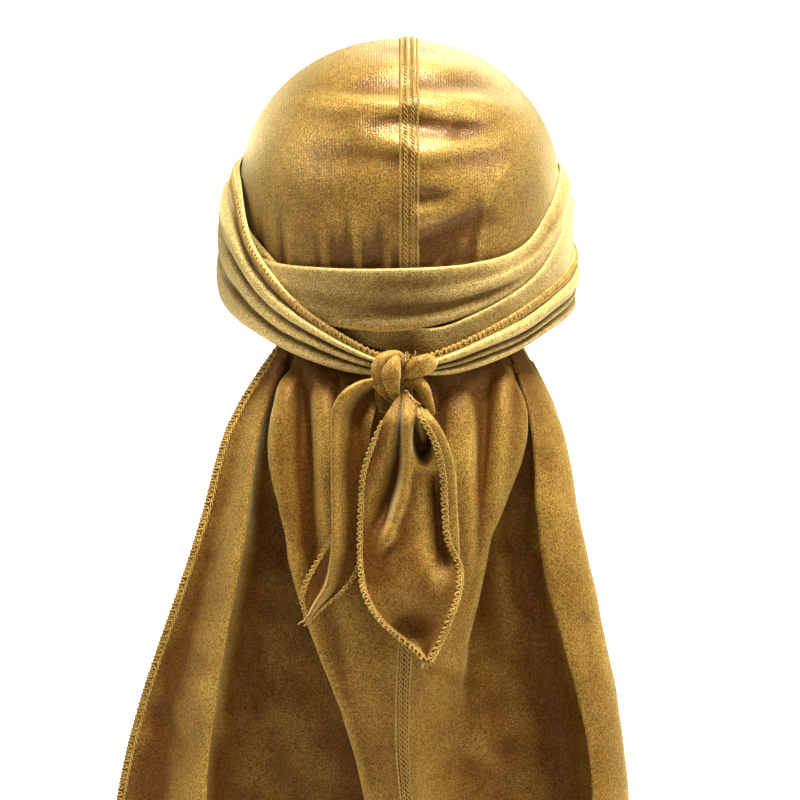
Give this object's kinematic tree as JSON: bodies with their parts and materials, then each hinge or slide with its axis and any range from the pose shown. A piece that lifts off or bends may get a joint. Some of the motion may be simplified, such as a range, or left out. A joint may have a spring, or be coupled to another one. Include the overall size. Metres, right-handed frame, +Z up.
{
  "type": "durag",
  "caption": "Velvet durag in its tied form: seamed crown, straps crossed at the back into a knot with two hanging tails, and a long pleated cape",
  "frame": {"origin": "inside the crown, at the top of the hollow, where the cloth rests on the crown of the head", "axes": "+Z up, +Y towards the wearer's face, +X towards the wearer's right; the knot and the cape are at -Y"},
  "size_m": [0.2643, 0.2366, 0.4441],
  "materials": {
    "velvet_crown": "gold stretch velvet with a short nap",
    "velvet_cape": "gold stretch velvet with a short nap, hanging in folds",
    "velvet_strap": "gold stretch velvet pulled tight, so it looks paler",
    "thread": "pale gold overlock thread"
  },
  "bodies": {
    "root": {"crown_left": "velvet_crown", "crown_right": "velvet_crown", "crown_seam": "thread", "cape_left": "velvet_cape", "cape_right": "velvet_cape", "cape_seam": "thread", "cape_left_edging": "thread", "cape_right_edging": "thread", "cape_left_hem": "thread", "cape_right_hem": "thread", "knot_left_loop": "velvet_strap", "knot_right_loop": "velvet_strap", "knot_lower_loop": "velvet_strap", "strap_left": "velvet_strap", "strap_right": "velvet_strap", "strap_left_edging": "thread", "strap_right_edging": "thread", "tail_left": "velvet_strap", "tail_right": "velvet_strap", "tail_left_front_edging": "thread", "tail_left_back_edging": "thread", "tail_right_left_edging": "thread", "tail_right_right_edging": "thread"}
  },
  "joints": []
}
